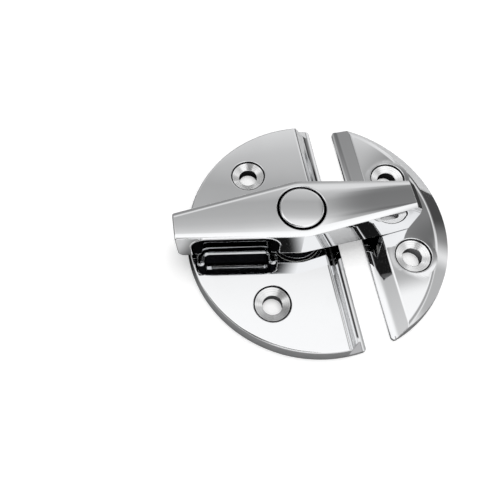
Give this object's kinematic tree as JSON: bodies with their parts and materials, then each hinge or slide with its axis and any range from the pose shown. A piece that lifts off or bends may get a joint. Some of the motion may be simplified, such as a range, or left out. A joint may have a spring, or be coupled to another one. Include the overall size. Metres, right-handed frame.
{
  "type": "pushbutton latch",
  "caption": "Chromed round turn-button latch: split disc of base and keeper, tapered turn bar across the split, push button in its centre.",
  "frame": {"origin": "centre of the base plate's round outline, on the mounting plane at the back", "axes": "+X crosses the split towards the keeper, +Y runs along the split, +Z points out of the door"},
  "size_m": [0.0675, 0.0634, 0.0153],
  "materials": {
    "chrome_plate": "mirror polished",
    "chrome_bar": "mirror polished",
    "chrome_button": "mirror polished",
    "steel": "turned",
    "nylon": "plain"
  },
  "bodies": {
    "base": {"base_plate": "chrome_plate", "keeper_plate": "chrome_plate", "pivot_post": "steel", "thrust_washer": "nylon", "wave_washer": "steel", "retaining_ring": "steel"},
    "bar": {"turn_bar": "chrome_bar", "button_spring": "steel"},
    "button": {"push_button": "chrome_button", "brake_washer": "steel", "stem_screw": "steel"}
  },
  "joints": [
    {"name": "bar_turn", "type": "hinge", "parent": "base", "child": "bar", "pos_m": [-0.0041, 0, 0], "axis": [0, 0, 1], "range_deg": [-90, 90]},
    {"name": "button_press", "type": "slide", "parent": "bar", "child": "button", "axis": [0, 0, -1], "range_m": [0, 0.0014], "stiffness_N_per_m": 900, "springref_m": -0.0012, "deforming": ["button_spring"]}
  ]
}
